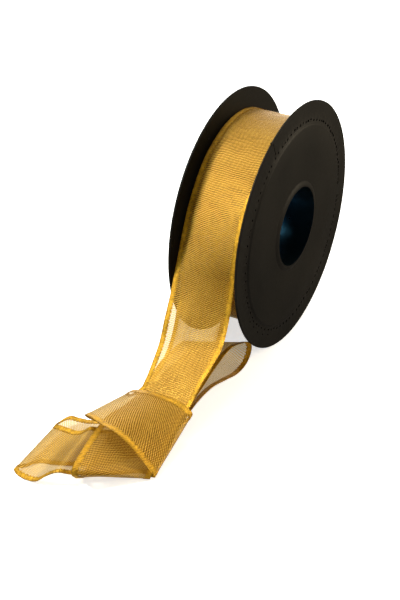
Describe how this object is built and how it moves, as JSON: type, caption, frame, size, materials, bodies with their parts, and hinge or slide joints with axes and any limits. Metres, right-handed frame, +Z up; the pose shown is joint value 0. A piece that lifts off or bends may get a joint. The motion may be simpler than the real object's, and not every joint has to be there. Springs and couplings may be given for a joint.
{
  "type": "ribbon spool",
  "caption": "Sheer gold-edged ribbon wound on a black snap-together plastic spool, with its loose end running off and folded on the table.",
  "frame": {"origin": "middle of the spool's bore, on its axis and halfway between the flanges", "axes": "+X along the spool's axis, out of the near flange; -Y towards the folded loose ribbon; +Z up, with the spool standing on its flange rims"},
  "size_m": [0.0488, 0.1821, 0.1],
  "materials": {
    "black_plastic": "satin black",
    "tape": "matt",
    "sheer_ribbon": "sheer organza",
    "gold_selvage": "satin weave"
  },
  "bodies": {
    "ribbon_tail": {"tail_ribbon": "sheer_ribbon", "tail_selvage_right": "gold_selvage", "tail_selvage_left": "gold_selvage"},
    "spool": {"near_flange": "black_plastic", "far_flange_hub": "black_plastic", "start_tape": "tape", "ribbon_winding": "sheer_ribbon", "winding_selvage_near": "gold_selvage", "winding_selvage_far": "gold_selvage"}
  },
  "joints": [
    {"name": "spool_spin", "type": "hinge", "parent": "ribbon_tail", "child": "spool", "pos_m": [0, 0, 0], "axis": [1, 0, 0], "continuous": true}
  ]
}
